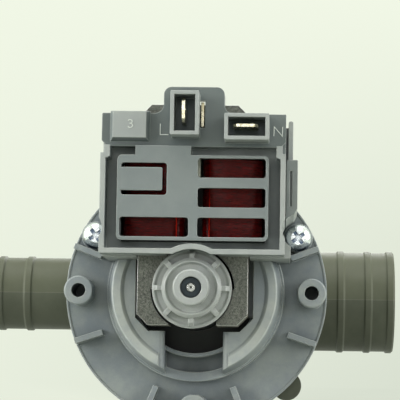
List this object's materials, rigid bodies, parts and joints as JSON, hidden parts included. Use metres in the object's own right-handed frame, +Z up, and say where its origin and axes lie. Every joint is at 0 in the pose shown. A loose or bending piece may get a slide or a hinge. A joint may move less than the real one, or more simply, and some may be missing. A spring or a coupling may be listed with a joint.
{
  "type": "drain pump",
  "caption": "Single-phase drain pump: open U-core motor with two coils and a cooling fan, round mounting bracket, and a chamber with two hose spigots.",
  "frame": {"origin": "on the rotor axis, in the plane of the mounting bosses' seats", "axes": "+Y along the rotor axis from the fan to the chamber, +Z up from the rotor to the coils, +X towards the inlet spigot"},
  "size_m": [0.1162, 0.0909, 0.0867],
  "materials": {
    "bracket_plastic": "satin moulded, blue-grey",
    "cover_plastic": "satin moulded, mid grey",
    "fan_plastic": "satin moulded, natural light grey",
    "chamber_plastic": "satin moulded, olive grey",
    "black_plastic": "satin moulded, black",
    "impeller_plastic": "satin moulded, grey",
    "core_steel": "stamped laminations, oiled, grainy",
    "bobbin_plastic": "satin moulded, dark",
    "enamelled_wire": "copper wire in dark red enamel",
    "ferrite": "ground ferrite",
    "bright_steel": "ground steel",
    "blued_steel": "blued spring steel",
    "zinc_steel": "bright zinc plate",
    "bronze": "sintered bronze",
    "washer_plastic": "natural slippery plastic",
    "seal_rubber": "black rubber",
    "tinned_brass": "tinned, pale gold",
    "cutout_film": "pale insulating film",
    "lead_cover": "white insulation"
  },
  "bodies": {
    "pump_body": {"chamber_housing": "chamber_plastic", "inlet_elbow": "chamber_plastic", "chamber_seal_ring": "seal_rubber", "pump_bracket": "bracket_plastic", "rotor_housing": "black_plastic", "seal_carrier": "black_plastic", "shaft_seal": "seal_rubber", "front_bearing": "bronze", "rear_bearing": "bronze", "core_left_leg": "core_steel", "core_right_leg": "core_steel", "core_yoke": "core_steel", "left_bobbin": "bobbin_plastic", "right_bobbin": "bobbin_plastic", "left_winding_core": "enamelled_wire", "right_winding_core": "enamelled_wire", "left_winding_turns": "enamelled_wire", "right_winding_turns": "enamelled_wire", "front_cover": "cover_plastic", "rear_cover": "cover_plastic", "live_terminal": "tinned_brass", "neutral_terminal": "tinned_brass", "cutout_terminal": "tinned_brass", "thermal_cutout": "cutout_film", "coil_link_wire": "enamelled_wire", "left_coil_lead": "enamelled_wire", "neutral_lead": "enamelled_wire", "cutout_lead": "lead_cover", "live_lead": "lead_cover", "bracket_screws": "zinc_steel", "chamber_screw": "zinc_steel"},
    "rotor": {"front_thrust_washer": "washer_plastic", "rear_thrust_washer": "washer_plastic", "rotor_shaft": "bright_steel", "rotor_magnet": "ferrite", "magnet_carrier": "washer_plastic", "cooling_fan": "fan_plastic", "fan_push_ring": "blued_steel", "drive_dog": "black_plastic", "impeller_push_ring": "blued_steel"},
    "impeller_wheel": {"impeller": "impeller_plastic", "impeller_hub_cap": "impeller_plastic"}
  },
  "joints": [
    {"name": "rotor_spin", "type": "hinge", "parent": "pump_body", "child": "rotor", "pos_m": [0, 0, 0], "axis": [0, 1, 0], "continuous": true},
    {"name": "impeller_slip", "type": "hinge", "parent": "rotor", "child": "impeller_wheel", "pos_m": [0, 0, 0], "axis": [0, 1, 0], "range_deg": [-138, 138]}
  ]
}
